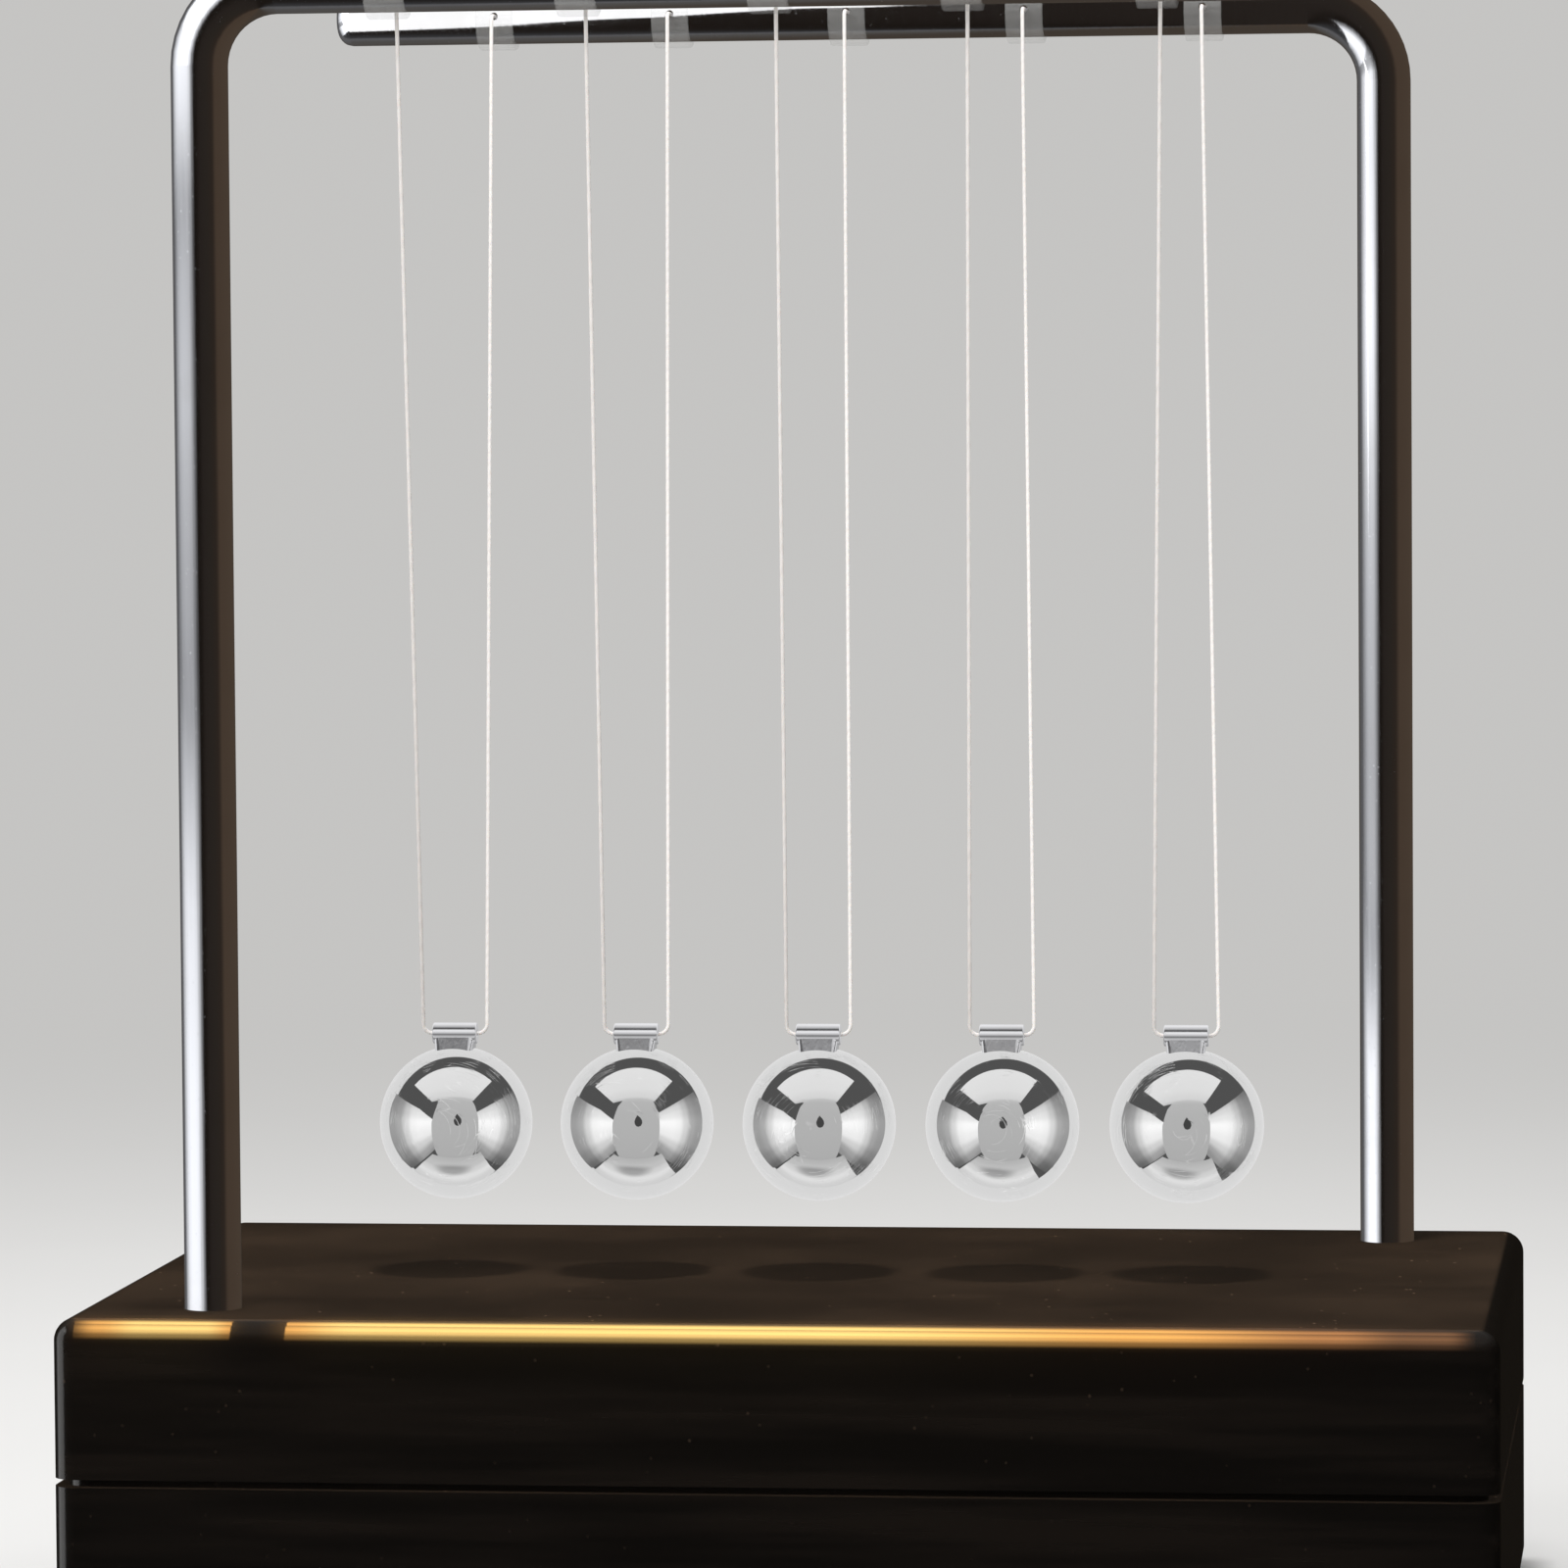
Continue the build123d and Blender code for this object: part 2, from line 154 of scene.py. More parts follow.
class Tree:
    """A node tree under construction."""

    def __init__(self, nodes: bpy.types.NodeTree) -> None:
        """Clears the tree.

        Args:
            nodes: The node tree of a material, a world or a lamp.
        """
        self.nodes = nodes
        nodes.nodes.clear()

    def node(
        self,
        kind: str,
        settings: dict[str, Any] | None = None,
        values: dict[str | int, Any] | None = None,
    ) -> bpy.types.Node:
        """Adds one node.

        Args:
            kind: The node's type.
            settings: Its settings. The key "stops" holds a colour ramp's stops.
            values: A number, a colour, a Value or an output socket for each input, by name or place.

        Returns:
            The node.
        """
        made = self.nodes.nodes.new(kind)
        for name, setting in (settings or {}).items():
            if name == "stops":
                self._stops(made.color_ramp, setting)
            else:
                setattr(made, name, setting)
        for name, value in (values or {}).items():
            source = value.socket if isinstance(value, Value) else value
            if isinstance(source, bpy.types.NodeSocket):
                self.nodes.links.new(source, made.inputs[name])
            else:
                made.inputs[name].default_value = source
        return made

    @staticmethod
    def _stops(ramp: bpy.types.ColorRamp, stops: Stops | ColourStops) -> None:
        """Sets a ramp's stops.

        Args:
            ramp: The colour ramp.
            stops: Pairs of place and grey level, or of place and colour.
        """
        ramp.interpolation = "EASE"
        while len(ramp.elements) < len(stops):
            ramp.elements.new(1.0)
        for element, (place, level) in zip(ramp.elements, stops):
            colour = level if isinstance(level, tuple) else (level, level, level)
            element.position = place
            element.color = (*colour, 1.0)

    def place(self, output: str = "Object") -> bpy.types.NodeSocket:
        """The surface point: Object in metres, or Generated from 0 to 1 across the piece."""
        return self.node("ShaderNodeTexCoord").outputs[output]

    def stretched(self, scale: tuple[float, float, float], turn: Colour = (0, 0, 0)) -> Any:
        """The surface point in metres, turned and scaled along each axis."""
        values = {"Vector": self.place(), "Scale": scale, "Rotation": turn}
        return self.node("ShaderNodeMapping", {"vector_type": "POINT"}, values).outputs[0]

    def ramped(self, place: Any, stops: Stops | ColourStops) -> bpy.types.NodeSocket:
        """The level or colour that a ramp's stops give at a place from 0 to 1."""
        return self.node("ShaderNodeValToRGB", {"stops": stops}, {"Fac": place}).outputs[0]

    def along(self, direction: Vector) -> Value:
        """How far the surface point lies along a direction."""
        values = {0: self.place(), 1: tuple(direction)}
        made = self.node("ShaderNodeVectorMath", {"operation": "DOT_PRODUCT"}, values)
        return Value(self, made.outputs["Value"])

    def noise(self, vector: Any, scale: float, detail: float = 2.0, rough: float = 0.5) -> Value:
        """Soft random patches.

        Args:
            vector: The socket that gives the point.
            scale: Patches per unit of the point.
            detail: How many finer layers are added.
            rough: How strong the finer layers are.

        Returns:
            A level near 0.5.
        """
        values = {"Vector": vector, "Scale": scale, "Detail": detail, "Roughness": rough}
        return Value(self, self.node("ShaderNodeTexNoise", None, values).outputs[0])

    def cells(self, vector: Any, scale: float, feature: str, output: str) -> Value:
        """One output of a Voronoi pattern, such as the distance to the nearest cell's centre."""
        made = self.node(
            "ShaderNodeTexVoronoi", {"feature": feature}, {"Vector": vector, "Scale": scale}
        )
        return Value(self, made.outputs[output])

    def mix(self, share: Any, first: Any, second: Any) -> bpy.types.NodeSocket:
        """Mixes two colours.

        Args:
            share: How much of the second colour, from 0 to 1.
            first: A colour or a colour socket.
            second: A colour or a colour socket.

        Returns:
            The mixed colour.
        """
        first, second = (
            (*colour, 1.0) if isinstance(colour, tuple) else colour for colour in (first, second)
        )
        made = self.node(
            "ShaderNodeMix", {"data_type": "RGBA"}, {0: share, 6: first, 7: second}
        )
        return made.outputs[2]

    def bump(self, height: Value, depth: float, under: Any = None) -> bpy.types.NodeSocket:
        """Raises the surface by a height.

        Args:
            height: The height, from 0 to 1.
            depth: The depth in metres that 1 stands for.
            under: The normal that this bump lies on, if any.

        Returns:
            The new normal.
        """
        values: dict[str | int, Any] = {"Height": height, "Distance": depth, "Strength": 1.0}
        if under is not None:
            values["Normal"] = under
        return self.node("ShaderNodeBump", None, values).outputs[0]


class Finish:
    """What every finish shares: one material, built once and then reused."""

    name = "finish"

    def shade(self, tree: Tree) -> dict[str | int, Any]:
        """The main shader's values, which each finish gives."""
        raise NotImplementedError

    def material(self) -> bpy.types.Material:
        """Builds the material, or returns it if it is there.

        Returns:
            The material with a Principled shader behind its surface.
        """
        made = bpy.data.materials.get(self.name)
        if made is not None:
            return made
        made = bpy.data.materials.new(self.name)
        made.use_nodes = True
        tree = Tree(made.node_tree)
        shader = tree.node("ShaderNodeBsdfPrincipled", None, self.shade(tree))
        tree.node("ShaderNodeOutputMaterial", None, {"Surface": shader.outputs[0]})
        return made


# ---- Finishes --------------------------------------------------------------------------------------


@dataclass(frozen=True)
class MirrorSteel(Finish):
    """Polished bearing steel with a few hairline scratches."""

    name: str = "mirror_steel"
    colour: Colour = (0.83, 0.83, 0.83)
    scratch_colour: Colour = (0.95, 0.95, 0.95)
    roughness: float = 0.025
    scratch_roughness: float = 0.22

    def hairlines(self, tree: Tree, turn: Colour, offset: float) -> Value:
        """Sparse, straight hairline scratches in one direction.

        Args:
            tree: The node tree.
            turn: The direction, as turns about X, Y and Z.
            offset: Moves the pattern, so that two calls differ.

        Returns:
            1 on a scratch, else 0.
        """
        along = tree.stretched((170.0, 2600.0 + offset, 170.0), turn)
        line = tree.cells(along, 1.0, "DISTANCE_TO_EDGE", "Distance").ramp(0.0, 0.03, 1.0, 0.0)
        patch = tree.noise(tree.place(), 240.0 + offset, 1.0).ramp(0.57, 0.64)
        return line * patch

    def shade(self, tree: Tree) -> dict[str | int, Any]:
        """Mirror metal, a little rougher and brighter along its scratches."""
        lines = self.hairlines(tree, (0.5, 0.4, 0.9), 0.0) + self.hairlines(
            tree, (-0.7, 0.2, 2.1), 31.0
        )
        haze = tree.noise(tree.place(), 350.0, 3.0).ramp(0.35, 0.75)
        rough = self.roughness + 0.015 * haze + self.scratch_roughness * lines
        return {
            "Base Color": tree.mix(lines, self.colour, self.scratch_colour),
            "Metallic": 1.0,
            "Roughness": rough,
            "Normal": tree.bump(lines, 0.000004),
        }


@dataclass(frozen=True)
class ChromePlate(Finish):
    """Bright chrome plate with faint draw lines, dust and finger haze."""

    name: str = "chrome_plate"
    colour: Colour = (0.80, 0.80, 0.815)
    haze_colour: Colour = (0.70, 0.69, 0.68)
    roughness: float = 0.085

    def shade(self, tree: Tree) -> dict[str | int, Any]:
        """Metal with a soft haze and short fine streaks."""
        haze = tree.noise(tree.place(), 90.0, 4.0, 0.6).ramp(0.45, 0.8)
        streaks = tree.noise(tree.stretched((1800.0, 1800.0, 60.0)), 1.0, 2.0).ramp(0.4, 0.7)
        dust = tree.cells(tree.place(), 900.0, "F1", "Distance").ramp(0.08, 0.14, 1.0, 0.0)
        return {
            "Base Color": tree.mix(haze * 0.5, self.colour, self.haze_colour),
            "Metallic": 1.0,
            "Roughness": self.roughness + 0.05 * haze + 0.03 * streaks + 0.15 * dust,
            "Normal": tree.bump(streaks, 0.000002),
        }


@dataclass(frozen=True)
class LacqueredWood(Finish):
    """Near-black stained wood under clear lacquer, with grain, dust, fine wear and a painted
    reflection: a lighter brown on faces that point up.
    """

    name: str = "lacquered_wood"
    dark: Colour = (0.0036, 0.0028, 0.0022)
    light: Colour = (0.0082, 0.0058, 0.0042)
    # Colour of the dust specks and of the painted reflection on faces that point up.
    dust_colour: Colour = (0.36, 0.225, 0.135)
    roughness: float = 0.5
    coat_roughness: float = 0.07

    def shade(self, tree: Tree) -> dict[str | int, Any]:
        """Stained grain under lacquer, with dust specks and a painted reflection, an even lighter
        brown, on what faces up.
        """
        grain = tree.noise(tree.stretched((12.0, 220.0, 220.0)), 1.0, 6.0, 0.6)
        pores = tree.noise(tree.stretched((120.0, 2600.0, 2600.0)), 1.0, 3.0, 0.6)
        facing = tree.node("ShaderNodeNewGeometry").outputs["Normal"]
        up = Value(tree, tree.node("ShaderNodeSeparateXYZ", None, {0: facing}).outputs["Z"])
        # Faces that point up get dust specks and an even lighter brown film. The film is a painted
        # reflection, not dust.
        level = up.ramp(0.93, 1.0)
        specks = tree.cells(tree.place(), 480.0, "F1", "Distance").ramp(0.06, 0.13, 1.0, 0.0)
        patches = tree.noise(tree.place(), 110.0, 2.0).ramp(0.50, 0.64)
        painted_reflection_film = tree.noise(tree.place(), 24.0, 4.0, 0.6).ramp(0.3, 0.8)
        # Dust specks on top, plus the painted reflection: a patchy film and a constant share on every
        # face that points up.
        dust_and_reflection_on_top = specks * patches * 0.6 + painted_reflection_film * 0.11 + 0.085
        dust = level * dust_and_reflection_on_top + specks * patches * 0.05
        stain = tree.mix(grain.ramp(0.38, 0.68), self.dark, self.light)
        ripple = tree.noise(tree.place(), 150.0, 1.0)
        normal = tree.bump(ripple, 0.000010, tree.bump(pores, 0.000006))
        return {
            # The dust colour goes over the stain. On faces that point up it is also the painted
            # reflection.
            "Base Color": tree.mix(dust, stain, self.dust_colour),
            "Roughness": self.roughness + 0.2 * dust,
            "Specular IOR Level": 0.08,
            "Coat Weight": 0.9 - 0.5 * dust,
            "Coat Roughness": self.coat_roughness,
            "Coat IOR": 1.48,
            "Normal": normal,
        }


@dataclass(frozen=True)
class PressedBoard(Finish):
    """Brown fibreboard, pressed smooth on the outside."""

    name: str = "pressed_board"
    dark: Colour = (0.085, 0.052, 0.030)
    light: Colour = (0.19, 0.125, 0.075)

    def shade(self, tree: Tree) -> dict[str | int, Any]:
        """Short mixed fibres with a slight nap."""
        fibres = tree.noise(tree.stretched((500.0, 1900.0, 900.0), (0, 0, 0.4)), 1.0, 5.0, 0.7)
        crossed = tree.noise(tree.stretched((1900.0, 500.0, 900.0), (0, 0, 0.3)), 1.0, 5.0, 0.7)
        mat = (fibres + crossed) * 0.5
        return {
            "Base Color": tree.mix(mat.ramp(0.36, 0.64), self.dark, self.light),
            "Roughness": 0.62 + 0.2 * mat,
            "Normal": tree.bump(mat, 0.00006),
        }


@dataclass(frozen=True)
class ZincPlate(Finish):
    """Zinc-plated steel fasteners, slightly cloudy."""

    name: str = "zinc_plate"
    light: Colour = (0.62, 0.62, 0.60)
    dark: Colour = (0.44, 0.45, 0.46)

    def shade(self, tree: Tree) -> dict[str | int, Any]:
        """Cloudy metal with fine turning marks."""
        cloud = tree.noise(tree.place(), 420.0, 4.0, 0.6).ramp(0.35, 0.7)
        marks = tree.noise(tree.stretched((700.0, 700.0, 9000.0)), 1.0, 2.0)
        return {
            "Base Color": tree.mix(cloud, self.light, self.dark),
            "Metallic": 1.0,
            "Roughness": 0.28 + 0.16 * cloud,
            "Normal": tree.bump(marks, 0.000008),
        }


@dataclass(frozen=True)
class FootRubber(Finish):
    """Matt black rubber with a fine cast texture."""

    name: str = "foot_rubber"
    dark: Colour = (0.014, 0.014, 0.015)
    light: Colour = (0.045, 0.043, 0.042)

    def shade(self, tree: Tree) -> dict[str | int, Any]:
        """Matt rubber with a bloom in patches."""
        grit = tree.noise(tree.place(), 2800.0, 3.0, 0.7)
        bloom = tree.noise(tree.place(), 190.0, 3.0).ramp(0.42, 0.75)
        return {
            "Base Color": tree.mix(bloom, self.dark, self.light),
            "Roughness": 0.68 + 0.22 * grit,
            "Specular IOR Level": 0.35,
            "Normal": tree.bump(grit, 0.00004),
        }


@dataclass(frozen=True)
class ClearTube(Finish):
    """Clear soft plastic tube, faintly hazed."""

    name: str = "clear_tube"
    colour: Colour = (0.90, 0.90, 0.89)
    haze_colour: Colour = (0.80, 0.80, 0.78)

    def shade(self, tree: Tree) -> dict[str | int, Any]:
        """See-through plastic with drawn streaks."""
        streaks = tree.noise(tree.stretched((90.0, 2200.0, 2200.0)), 1.0, 2.0).ramp(0.35, 0.7)
        return {
            "Base Color": tree.mix(streaks, self.colour, self.haze_colour),
            "Roughness": 0.10 + 0.10 * streaks,
            "Alpha": 0.09 + 0.06 * streaks,
            "IOR": 1.42,
            "Normal": tree.bump(streaks, 0.00001),
        }


@dataclass(frozen=True)
class NylonString(Finish):
    """Off-white twisted nylon string."""

    name: str = "nylon_string"
    light: Colour = (0.87, 0.835, 0.81)
    dark: Colour = (0.83, 0.795, 0.77)
    twist_pitch: float = 1.1 * MM

    def shade(self, tree: Tree) -> dict[str | int, Any]:
        """Slanting plies with fine filaments, and painted shade: the colour is darker in the grooves
        between the plies.
        """
        slant = tree.node(
            "ShaderNodeTexWave",
            {"wave_type": "BANDS", "bands_direction": "Z", "wave_profile": "SIN"},
            {
                "Vector": tree.stretched((1.0, 1.0, 1.0), (0.85, 0.55, 0.0)),
                "Scale": 0.314 / self.twist_pitch,
                "Distortion": 0.0,
            },
        )
        plies_and_groove_shade = Value(tree, slant.outputs["Fac"])
        filaments = tree.noise(tree.stretched((9000.0, 9000.0, 1500.0)), 1.0, 2.0)
        return {
            # The colour is darker in the grooves between the plies: painted shade.
            "Base Color": tree.mix(plies_and_groove_shade.ramp(0.0, 0.5), self.dark, self.light),
            "Roughness": 0.45 + 0.15 * filaments,
            "Subsurface Weight": 0.15,
            "Subsurface Radius": (0.6, 0.5, 0.4),
            "Subsurface Scale": 0.0004,
            "Sheen Weight": 0.2,
            "Normal": tree.bump(plies_and_groove_shade, 0.000007),
        }


# ---- The cradle's own parts ------------------------------------------------------------------------


class Slot(Enum):
    """The record's material slots and the finish that stands for each."""

    DARK_WOOD = LacqueredWood()
    HARDBOARD = PressedBoard()
    CHROMED_STEEL = ChromePlate()
    STEEL_BALL = MirrorSteel()
    ZINC_STEEL = ZincPlate()
    RUBBER = FootRubber()
    CLEAR_PLASTIC = ClearTube()
    NYLON = NylonString()


@dataclass
class Group:
    """Some of the cradle's parts that share a finish and a light set-up."""

    label: str
    slot: Slot
    nodes: tuple[str, ...]

    def objects(self) -> list[bpy.types.Object]:
        """The parts as Blender objects."""
        return [frame["nodes"][name] for name in self.nodes]

    def dress(self) -> None:
        """Puts the finish on every part of the group."""
        material = self.slot.value.material()
        for part in self.objects():
            part.data.materials.clear()
            part.data.materials.append(material)
            part.visible_glossy = False
        LOG.info("%s: %d parts in %s", self.label, len(self.nodes), material.name)


def numbered(*stems: str) -> tuple[str, ...]:
    """The names of the five places in the row for each stem."""
    return tuple(f"{stem}_{place}" for stem in stems for place in range(1, BALL_COUNT + 1))


def held(label: str, slot: Slot, *nodes: str) -> Any:
    """A dataclass field that holds a group of the cradle's parts."""
    return field(default_factory=lambda: Group(label, slot, nodes))


@dataclass
class Cradle:
    """The whole cradle, sorted into groups."""

    wood: Group = held("base", Slot.DARK_WOOD, "base_slab", "lower_block")
    cover: Group = held("cover", Slot.HARDBOARD, "bottom_cover")
    feet: Group = held(
        "feet",
        Slot.RUBBER,
        "foot_front_left",
        "foot_front_right",
        "foot_back_left",
        "foot_back_right",
    )
    front_rod: Group = held("front rod", Slot.CHROMED_STEEL, "front_rod")
    back_rod: Group = held("back rod", Slot.CHROMED_STEEL, "back_rod")
    bails: Group = held("bails", Slot.CHROMED_STEEL, *numbered("bail"))
    balls: Group = held("balls", Slot.STEEL_BALL, *numbered("ball"))
    strings: Group = held("strings", Slot.NYLON, *numbered("string"))
    sleeves: Group = held(
        "sleeves", Slot.CLEAR_PLASTIC, *numbered("front_sleeve", "back_sleeve")
    )
    fasteners: Group = held(
        "fasteners",
        Slot.ZINC_STEEL,
        "front_rod_key_plate",
        "back_rod_key_plate",
        "front_rod_washer",
        "back_rod_washer",
        "front_rod_nut",
        "back_rod_nut",
        "slab_screws",
        "key_plate_screws",
        "cover_screws",
    )

    def groups(self) -> tuple[Group, ...]:
        """Every group, in the order above."""
        return tuple(getattr(self, entry.name) for entry in fields(self))

    def build(self) -> None:
        """Dresses every part and reports any part that no group holds."""
        for group in self.groups():
            group.dress()
        dressed = {name for group in self.groups() for name in group.nodes}
        missed = sorted(set(frame["nodes"]) - dressed)
        if missed:
            LOG.warning("parts without a finish: %s", missed)

    def row_centre(self) -> Vector:
        """The centre of the middle ball."""
        low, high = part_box("ball_3")
        return (low + high) / 2


# ---- Camera and studio -----------------------------------------------------------------------------


@dataclass
class View:
    """The camera: where it looks from, and how long its lens is."""

    aim: Vector = field(default_factory=lambda: Vector((-0.0043, 0.0, 0.1099)))
    azimuth_deg: float = 7.26
    elevation_deg: float = 2.98
    roll_deg: float = -0.42
    distance: float = 0.957
    lens: float = 168.75
    sensor: float = 36.0

    def towards(self) -> Vector:
        """The direction from the aim to the camera."""
        turn, rise = math.radians(self.azimuth_deg), math.radians(self.elevation_deg)
        return Vector(
            (math.sin(turn) * math.cos(rise), -math.cos(turn) * math.cos(rise), math.sin(rise))
        )

    def place(self) -> Vector:
        """Where the camera stands."""
        return self.aim + self.towards() * self.distance

    def build(self) -> None:
        """Makes the camera and gives it to the scene."""
        data = bpy.data.cameras.new("view")
        data.lens = self.lens
        data.sensor_width = self.sensor
        data.clip_start = 0.05
        data.clip_end = 100.0
        made = bpy.data.objects.new("view", data)
        bpy.context.scene.collection.objects.link(made)
        turned = (-self.towards()).to_track_quat("-Z", "Y").to_matrix()
        rolled = turned @ Matrix.Rotation(math.radians(self.roll_deg), 3, "Z")
        made.matrix_world = Matrix.Translation(self.place()) @ rolled.to_4x4()
        bpy.context.scene.camera = made
        LOG.info("camera at %s", tuple(round(x, 4) for x in made.location))


class Receivers:
    """A named set of parts that a panel lights."""

    def __init__(self, name: str, *groups: Group) -> None:
        """Gathers the parts of some groups.

        Args:
            name: The set's name.
            groups: The groups that are lit.
        """
        self.collection = bpy.data.collections.new(name)
        for group in groups:
            for part in group.objects():
                self.collection.objects.link(part)


def only_in_polish(piece: bpy.types.Object, receivers: Receivers) -> None:
    """Hides a light from everything but the polish of the parts that it lights.

    Args:
        piece: The lamp or the stage surface.
        receivers: The parts that it lights.
    """
    for ray in ("camera", "diffuse", "transmission", "shadow", "volume_scatter"):
        setattr(piece, f"visible_{ray}", False)
    piece.light_linking.receiver_collection = receivers.collection


class Glow:
    """What every shining stage surface shares."""

    @staticmethod
    def material(name: str, see_through: bool) -> tuple[Tree, bpy.types.Material, Any]:
        """Makes an emission material.

        Args:
            name: The material's name.
            see_through: True if what lies behind shows too.

        Returns:
            The node tree, the material and the emission node.
        """
        made = bpy.data.materials.new(name)
        made.use_nodes = True
        made.cycles.emission_sampling = "NONE"
        tree = Tree(made.node_tree)
        glow = tree.node("ShaderNodeEmission")
        surface = glow.outputs[0]
        if see_through:
            clear = tree.node("ShaderNodeBsdfTransparent")
            surface = tree.node("ShaderNodeAddShader", None, {0: surface, 1: clear.outputs[0]})
            surface = surface.outputs[0]
        tree.node("ShaderNodeOutputMaterial", None, {"Surface": surface})
        return tree, made, glow

    @staticmethod
    def stand(piece: bpy.types.Object, receivers: Receivers) -> None:
        """Puts a stage surface up, seen only in the polish of the parts that it lights.

        Args:
            piece: The stage surface.
            receivers: The parts that it lights.
        """
        bpy.context.scene.collection.objects.link(piece)
        only_in_polish(piece, receivers)


@dataclass
class Panel:
    """A flat studio panel, set by its middle, its half sides and its light."""

    name: str
    middle: Vector
    across: Vector
    up: Vector
    light: Colour
    across_stops: Stops = ((0.0, 1.0), (1.0, 1.0))
    up_stops: Stops = ((0.0, 1.0), (1.0, 1.0))
    dip: float = 0.0
    dip_place: tuple[float, float] = (0.5, 0.5)
    dip_reach: tuple[float, float] = (0.5, 0.5)
    see_through: bool = False
    outline: tuple[tuple[float, float], ...] = ((-1, -1), (1, -1), (1, 1), (-1, 1))

    def build(self, receivers: Receivers) -> None:
        """Makes the panel.

        Args:
            receivers: The parts that it lights.
        """
        mesh = bpy.data.meshes.new(self.name)
        points = [self.middle + self.across * x + self.up * y for x, y in self.outline]
        mesh.from_pydata([tuple(point) for point in points], [], [tuple(range(len(points)))])
        layer = mesh.uv_layers.new(name="sides")
        for loop, (x, y) in zip(layer.data, self.outline):
            loop.uv = ((x + 1) / 2, (y + 1) / 2)
        tree, material, glow = Glow.material(self.name, self.see_through)
        sides = tree.node("ShaderNodeSeparateXYZ", None, {0: tree.place("UV")})
        x, y = (Value(tree, sides.outputs[name]) for name in ("X", "Y"))
        level = Value(tree, tree.ramped(x, self.across_stops))
        level = level * Value(tree, tree.ramped(y, self.up_stops))
        if self.dip:
            beside = (x - self.dip_place[0]) * (1.0 / self.dip_reach[0])
            above = (y - self.dip_place[1]) * (1.0 / self.dip_reach[1])
            away = (beside**2.0 + above**2.0) ** 0.5
            level = level * (1.0 - away.ramp(0.3, 1.0, self.dip, 0.0))
        glow.inputs["Color"].default_value = (*self.light, 1.0)
        tree.nodes.links.new(level.socket, glow.inputs["Strength"])
        mesh.materials.append(material)
        Glow.stand(bpy.data.objects.new(self.name, mesh), receivers)


class Sweep(Enum):
    """How a surround's angle is measured."""

    AWAY = "away from the first direction, from 0 to 180 degrees"
    AROUND = "from the first direction towards the second, from -180 to 180 degrees"


@dataclass
class Surround:
    """A round tent whose colour changes with an angle."""

    name: str
    middle: Vector
    radius: float
    first: Vector
    second: Vector
    sweep: Sweep
    stops: ColourStops
    see_through: bool = False

    def angle(self, tree: Tree) -> Value:
        """The angle of the surface point, from 0 to 1 over the sweep's range."""
        ahead = tree.along(self.first)
        if self.sweep is Sweep.AROUND:
            return tree.along(self.second).angle_over(ahead) * (0.5 / math.pi) + 0.5
        third = self.first.cross(self.second)
        beside = (tree.along(self.second) ** 2.0 + tree.along(third) ** 2.0) ** 0.5
        return beside.angle_over(ahead) * (1.0 / math.pi)

    def build(self, receivers: Receivers) -> None:
        """Makes the tent.

        Args:
            receivers: The parts that it lights.
        """
        mesh = bpy.data.meshes.new(self.name)
        ball = bmesh.new()
        bmesh.ops.create_icosphere(ball, subdivisions=5, radius=self.radius)
        ball.to_mesh(mesh)
        ball.free()
        tree, material, glow = Glow.material(self.name, self.see_through)
        start, span = (-180.0, 360.0) if self.sweep is Sweep.AROUND else (0.0, 180.0)
        stops = tuple(((degrees - start) / span, colour) for degrees, colour in self.stops)
        tree.nodes.links.new(tree.ramped(self.angle(tree), stops), glow.inputs["Color"])
        mesh.materials.append(material)
        piece = bpy.data.objects.new(self.name, mesh)
        piece.location = self.middle
        Glow.stand(piece, receivers)


@dataclass
class PolishLamp:
    """A flat lamp that is seen only in the polish of some parts. Its spread is in degrees."""

    name: str
    middle: Vector
    across: Vector
    up: Vector
    light: float
    across_stops: ColourStops = ((0.0, (1.0, 1.0, 1.0)), (1.0, (1.0, 1.0, 1.0)))
    up_stops: Stops = ((0.0, 1.0), (1.0, 1.0))
    spread: float = 180.0

    def build(self, receivers: Receivers) -> None:
        """Makes the lamp. It shines along the cross product of up and across.

        Args:
            receivers: The parts that it lights.
        """
        data = bpy.data.lights.new(self.name, "AREA")
        data.shape = "RECTANGLE"
        data.size = 2 * self.across.length
        data.size_y = 2 * self.up.length
        data.spread = math.radians(self.spread)
        data.energy = self.light * math.pi * data.size * data.size_y
        data.use_nodes = True
        tree = Tree(data.node_tree)
        place = tree.node("ShaderNodeNewGeometry").outputs["Parametric"]
        sides = tree.node("ShaderNodeSeparateXYZ", None, {0: place})
        glow = tree.node(
            "ShaderNodeEmission",
            None,
            {
                "Color": tree.ramped(sides.outputs["X"], self.across_stops),
                "Strength": tree.ramped(sides.outputs["Y"], self.up_stops),
            },
        )
        tree.node("ShaderNodeOutputLight", None, {0: glow.outputs[0]})
        made = bpy.data.objects.new(self.name, data)
        across, up = self.across.normalized(), self.up.normalized()
        turn = Matrix((across, up, across.cross(up))).transposed().to_4x4()
        made.matrix_world = Matrix.Translation(self.middle) @ turn
        only_in_polish(made, receivers)
        bpy.context.scene.collection.objects.link(made)


